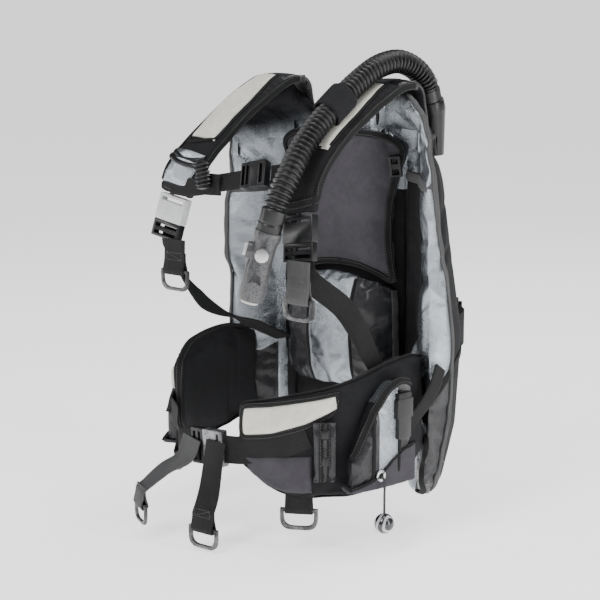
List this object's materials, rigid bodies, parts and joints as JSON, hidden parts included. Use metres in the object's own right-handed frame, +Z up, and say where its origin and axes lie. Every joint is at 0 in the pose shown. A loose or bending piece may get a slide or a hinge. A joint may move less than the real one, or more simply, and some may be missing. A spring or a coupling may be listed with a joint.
{
  "type": "buoyancy compensator vest",
  "caption": "Scuba buoyancy vest: padded back on a tank plate and band, inflator on a ribbed hose, release buckles, weight pouches and D-rings.",
  "frame": {"origin": "middle of the backpack plate's flat rear face, at the height of the tank band", "axes": "+X to the wearer's left, -Y the way the wearer faces, +Y towards the tank, +Z up"},
  "size_m": [0.4256, 0.5757, 0.6527],
  "materials": {
    "black_plastic": "satin moulded black",
    "webbing": "woven herringbone webbing",
    "silver_fabric": "coated, glossy silver",
    "coarse_grey_nylon": "coarse nylon, matt",
    "black_nylon": "woven nylon with bound edges",
    "gloss_fabric": "coated, glossy charcoal",
    "cream_fabric": "soft cream panel with black piping",
    "ring_metal": "black coated wire",
    "steel": "satin",
    "hose_rubber": "ribbed, semi-gloss",
    "grey_plastic": "speckled grey and black",
    "cream_plastic": "smooth",
    "cord": "braided",
    "knob_resin": "polished, swirled"
  },
  "bodies": {
    "vest": {"backpack_plate": "black_plastic", "cam_buckle_base": "black_plastic", "rear_dump_valve": "black_plastic", "hose_elbow": "black_plastic", "waist_buckle_female": "black_plastic", "shoulder_buckle_left": "black_plastic", "shoulder_buckle_right": "black_plastic", "chest_buckle_female": "black_plastic", "tank_band": "webbing", "carry_handle": "webbing", "side_web_left": "webbing", "side_web_right": "webbing", "waist_web_left": "webbing", "waist_web_right": "webbing", "waist_tail_left": "webbing", "hip_web_left": "webbing", "hip_web_right": "webbing", "chest_web_left": "webbing", "chest_web_right": "webbing", "air_cell_left": "silver_fabric", "air_cell_right": "silver_fabric", "upper_back_pad": "coarse_grey_nylon", "pouch_pocket_left": "coarse_grey_nylon", "pouch_pocket_right": "coarse_grey_nylon", "centre_panel": "black_nylon", "waist_lobe_left": "black_nylon", "waist_lobe_right": "black_nylon", "hose_keeper": "black_nylon", "lumbar_pad": "gloss_fabric", "zip_pocket": "gloss_fabric", "shoulder_strap_left": "cream_fabric", "shoulder_strap_right": "cream_fabric", "hose_nipple": "steel", "cord_grommet": "steel", "inflator_hose": "hose_rubber", "inflator_body": "grey_plastic", "pull_cord": "cord"},
    "cam_lever": {"cam_lever": "black_plastic"},
    "inflate_button": {"inflate_button": "black_plastic"},
    "deflate_button": {"deflate_button": "cream_plastic"},
    "waist_clip": {"waist_buckle_male": "black_plastic", "waist_tail_right": "webbing"},
    "chest_clip": {"chest_buckle_male": "black_plastic"},
    "shoulder_clip_left": {"shoulder_clip_left": "black_plastic", "chest_tail_left": "webbing"},
    "shoulder_clip_right": {"shoulder_clip_right": "black_plastic", "chest_tail_right": "webbing"},
    "weight_pouch_left": {"weight_pouch_left": "silver_fabric", "pouch_buckle_left": "black_plastic"},
    "weight_pouch_right": {"weight_pouch_right": "silver_fabric", "pouch_buckle_right": "black_plastic"},
    "zip_slider_upper": {"zip_slider_upper": "steel"},
    "zip_slider_lower": {"zip_slider_lower": "steel"},
    "pull_knob": {"pull_knob": "knob_resin"},
    "pocket_ring_left": {"pocket_ring_left": "ring_metal"},
    "pocket_ring_right": {"pocket_ring_right": "ring_metal"},
    "tail_ring_left": {"tail_ring_left": "ring_metal"},
    "tail_ring_right": {"tail_ring_right": "ring_metal"},
    "chest_ring_left": {"chest_ring_left": "ring_metal"},
    "chest_ring_right": {"chest_ring_right": "ring_metal"}
  },
  "joints": [
    {"name": "cam_lever_turn", "type": "hinge", "parent": "vest", "child": "cam_lever", "pos_m": [-0.024, 0.1966, 0], "axis": [0, 0, 1], "range_deg": [0, 120]},
    {"name": "shoulder_release_left", "type": "slide", "parent": "vest", "child": "shoulder_clip_left", "axis": [0.159, -0.199, -0.967], "range_m": [0, 0.018]},
    {"name": "shoulder_release_right", "type": "slide", "parent": "vest", "child": "shoulder_clip_right", "axis": [-0.159, -0.199, -0.967], "range_m": [0, 0.018]},
    {"name": "chest_release", "type": "slide", "parent": "vest", "child": "chest_clip", "axis": [-0.9741, -0.118, -0.193], "range_m": [0, 0.012]},
    {"name": "waist_release", "type": "slide", "parent": "vest", "child": "waist_clip", "axis": [-0.9919, 0.099, -0.079], "range_m": [0, 0.018]},
    {"name": "pocket_ring_left_swing", "type": "hinge", "parent": "vest", "child": "pocket_ring_left", "pos_m": [0.1001, -0.26864, -0.181], "axis": [-0.8733, -0.4872, 0], "range_deg": [-80, 80]},
    {"name": "pocket_ring_right_swing", "type": "hinge", "parent": "vest", "child": "pocket_ring_right", "pos_m": [-0.15784, -0.22104, -0.153], "axis": [-0.4222, 0.9065, 0], "range_deg": [-80, 80]},
    {"name": "tail_ring_left_swing", "type": "hinge", "parent": "vest", "child": "tail_ring_left", "pos_m": [0.002, -0.35, -0.207], "axis": [-1, 0, 0], "range_deg": [-80, 80]},
    {"name": "tail_ring_right_swing", "type": "hinge", "parent": "waist_clip", "child": "tail_ring_right", "pos_m": [-0.104, -0.36, -0.19], "axis": [-0.8671, 0.4981, 0], "range_deg": [-80, 80]},
    {"name": "chest_ring_left_swing", "type": "hinge", "parent": "shoulder_clip_left", "child": "chest_ring_left", "pos_m": [0.10982, -0.28097, 0.10548], "axis": [-1, 0, 0], "range_deg": [-45, 80]},
    {"name": "chest_ring_right_swing", "type": "hinge", "parent": "shoulder_clip_right", "child": "chest_ring_right", "pos_m": [-0.10732, -0.28247, 0.12048], "axis": [-1, 0, 0], "range_deg": [-45, 80]},
    {"name": "inflate_press", "type": "slide", "parent": "vest", "child": "inflate_button", "axis": [0.7635, 0.5894, -0.2642], "range_m": [0, 0.004], "stiffness_N_per_m": 400},
    {"name": "deflate_press", "type": "slide", "parent": "vest", "child": "deflate_button", "axis": [0.241, 0.12, 0.9631], "range_m": [0, 0.005], "stiffness_N_per_m": 400},
    {"name": "weight_pouch_lift_left", "type": "slide", "parent": "vest", "child": "weight_pouch_left", "axis": [0, 0, 1], "range_m": [0, 0.12]},
    {"name": "weight_pouch_lift_right", "type": "slide", "parent": "vest", "child": "weight_pouch_right", "axis": [0, 0, 1], "range_m": [0, 0.12]},
    {"name": "zip_pull_upper", "type": "slide", "parent": "vest", "child": "zip_slider_upper", "axis": [0, 0, 1], "range_m": [-0.004, 0.008]},
    {"name": "zip_pull_lower", "type": "slide", "parent": "vest", "child": "zip_slider_lower", "axis": [0, 0, -1], "range_m": [-0.005, 0.012]},
    {"name": "dump_pull", "type": "slide", "parent": "vest", "child": "pull_knob", "axis": [0, 0, -1], "range_m": [0, 0.01], "stiffness_N_per_m": 120, "deforming": ["pull_cord"]}
  ]
}
